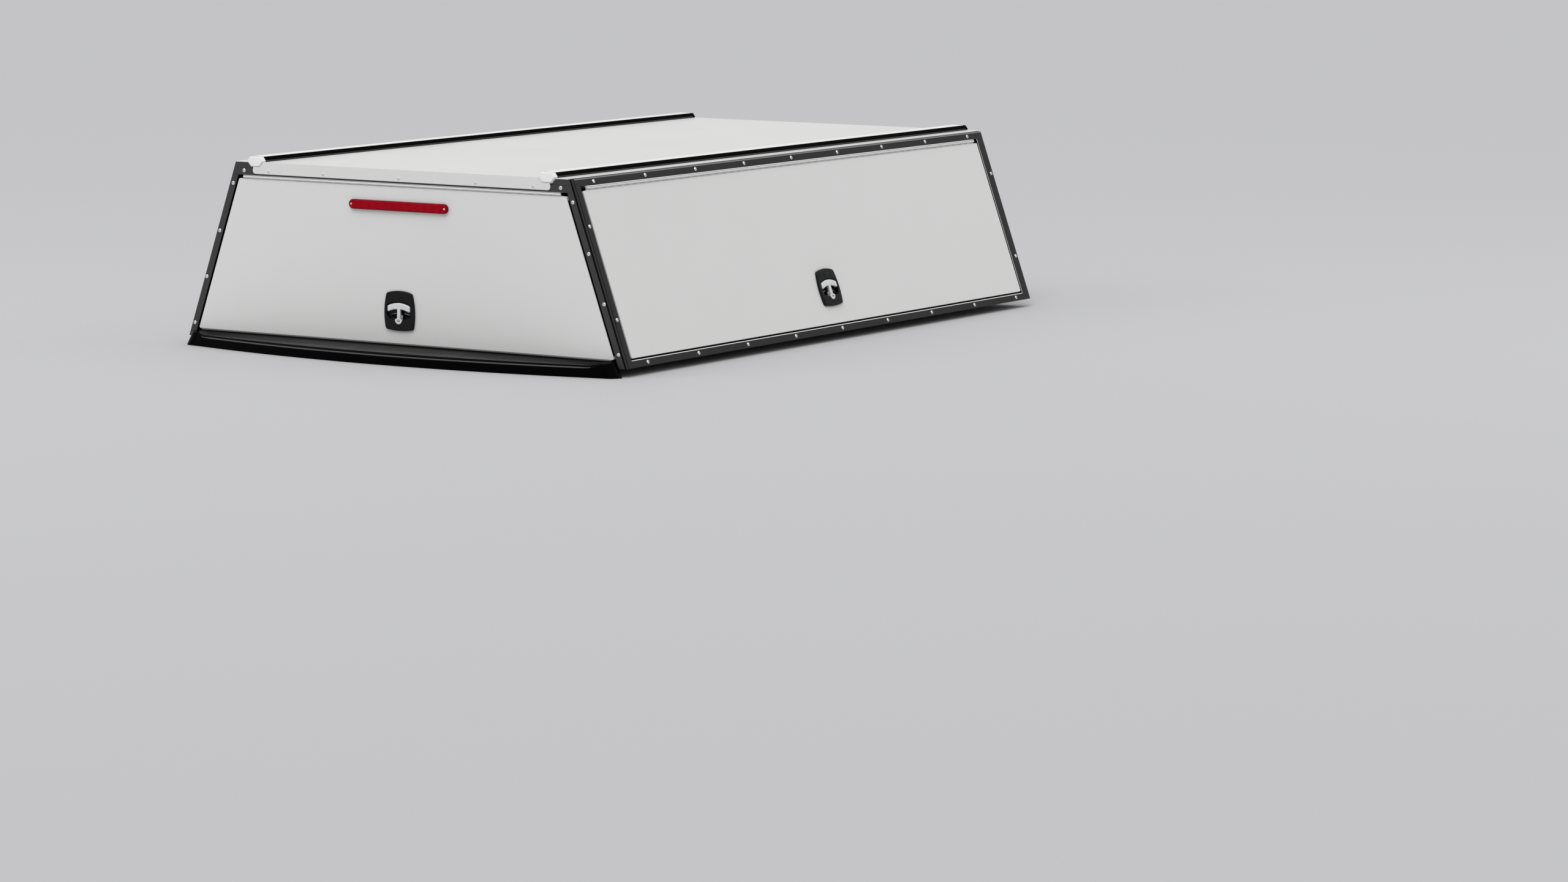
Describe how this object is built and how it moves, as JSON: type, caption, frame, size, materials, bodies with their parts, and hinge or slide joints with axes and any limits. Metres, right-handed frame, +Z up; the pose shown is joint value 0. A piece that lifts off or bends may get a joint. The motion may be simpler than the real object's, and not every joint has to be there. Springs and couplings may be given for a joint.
{
  "type": "pickup truck canopy",
  "caption": "Framed aluminium canopy for a pickup bed: lift-up side and rear doors on piano hinges, folding T-handles, bowed rear sill moulding and roof rails.",
  "frame": {"origin": "middle of the footprint, at the level of the lowest edge, the rear sill moulding's fascia", "axes": "+Z up, +Y forwards to the cab, +X to the truck's right"},
  "size_m": [1.7426, 2.622, 0.623],
  "materials": {
    "frame_paint": "satin",
    "body_paint": "satin",
    "hinge_metal": "anodised",
    "sill_plastic": "gloss",
    "lock_plastic": "satin",
    "handle_chrome": "satin",
    "seal_rubber": "matte",
    "cap_plastic": "satin",
    "red_lens": "gloss"
  },
  "bodies": {
    "canopy_shell": {"left_base_rail": "frame_paint", "right_base_rail": "frame_paint", "rear_base_rail": "frame_paint", "front_base_rail": "frame_paint", "left_top_rail": "frame_paint", "right_top_rail": "frame_paint", "rear_header": "frame_paint", "front_header": "frame_paint", "left_side_rear_post": "frame_paint", "right_side_rear_post": "frame_paint", "left_rear_corner_trim": "frame_paint", "right_rear_corner_trim": "frame_paint", "rear_left_post": "frame_paint", "rear_right_post": "frame_paint", "front_left_corner_post": "frame_paint", "front_right_corner_post": "frame_paint", "rear_left_corner_cap": "frame_paint", "rear_right_corner_cap": "frame_paint", "front_left_corner_cap": "frame_paint", "front_right_corner_cap": "frame_paint", "left_roof_rail": "frame_paint", "right_roof_rail": "frame_paint", "left_rail_rear_cap": "cap_plastic", "right_rail_rear_cap": "cap_plastic", "left_rail_front_cap": "cap_plastic", "right_rail_front_cap": "cap_plastic", "roof_panel": "body_paint", "roof_bow_1": "body_paint", "roof_bow_2": "body_paint", "front_panel": "body_paint", "rear_sill_moulding": "sill_plastic", "left_door_seal": "seal_rubber", "right_door_seal": "seal_rubber", "rear_door_seal": "seal_rubber", "left_hinge_frame_leaf": "hinge_metal", "right_hinge_frame_leaf": "hinge_metal", "rear_hinge_frame_leaf": "hinge_metal"},
    "left_door_group": {"left_door": "body_paint", "left_hinge_door_leaf": "hinge_metal", "left_lock_plate": "lock_plastic", "left_lock_hub": "handle_chrome"},
    "right_door_group": {"right_door": "body_paint", "right_hinge_door_leaf": "hinge_metal", "right_lock_plate": "lock_plastic", "right_lock_hub": "handle_chrome"},
    "rear_door_group": {"rear_door": "body_paint", "rear_hinge_door_leaf": "hinge_metal", "rear_lock_plate": "lock_plastic", "rear_lock_hub": "handle_chrome", "brake_light": "red_lens"},
    "left_handle_group": {"left_lock_handle": "handle_chrome"},
    "right_handle_group": {"right_lock_handle": "handle_chrome"},
    "rear_handle_group": {"rear_lock_handle": "handle_chrome"}
  },
  "joints": [
    {"name": "left_door_hinge", "type": "hinge", "parent": "canopy_shell", "child": "left_door_group", "pos_m": [-0.67629, 0.066, 0.57396], "axis": [0, 1, 0], "range_deg": [0, 90]},
    {"name": "right_door_hinge", "type": "hinge", "parent": "canopy_shell", "child": "right_door_group", "pos_m": [0.67629, 0.066, 0.57396], "axis": [0, -1, 0], "range_deg": [0, 90]},
    {"name": "rear_door_hinge", "type": "hinge", "parent": "canopy_shell", "child": "rear_door_group", "pos_m": [0, -1.174, 0.557], "axis": [-1, 0, 0], "range_deg": [0, 90]},
    {"name": "left_handle_fold", "type": "hinge", "parent": "left_door_group", "child": "left_handle_group", "pos_m": [-0.83066, 0.066, 0.15495], "axis": [0, -1, 0], "range_deg": [0, 80]},
    {"name": "right_handle_fold", "type": "hinge", "parent": "right_door_group", "child": "right_handle_group", "pos_m": [0.83066, 0.066, 0.15495], "axis": [0, 1, 0], "range_deg": [0, 80]},
    {"name": "rear_handle_fold", "type": "hinge", "parent": "rear_door_group", "child": "rear_handle_group", "pos_m": [0, -1.1785, 0.1394], "axis": [1, 0, 0], "range_deg": [0, 80]}
  ]
}
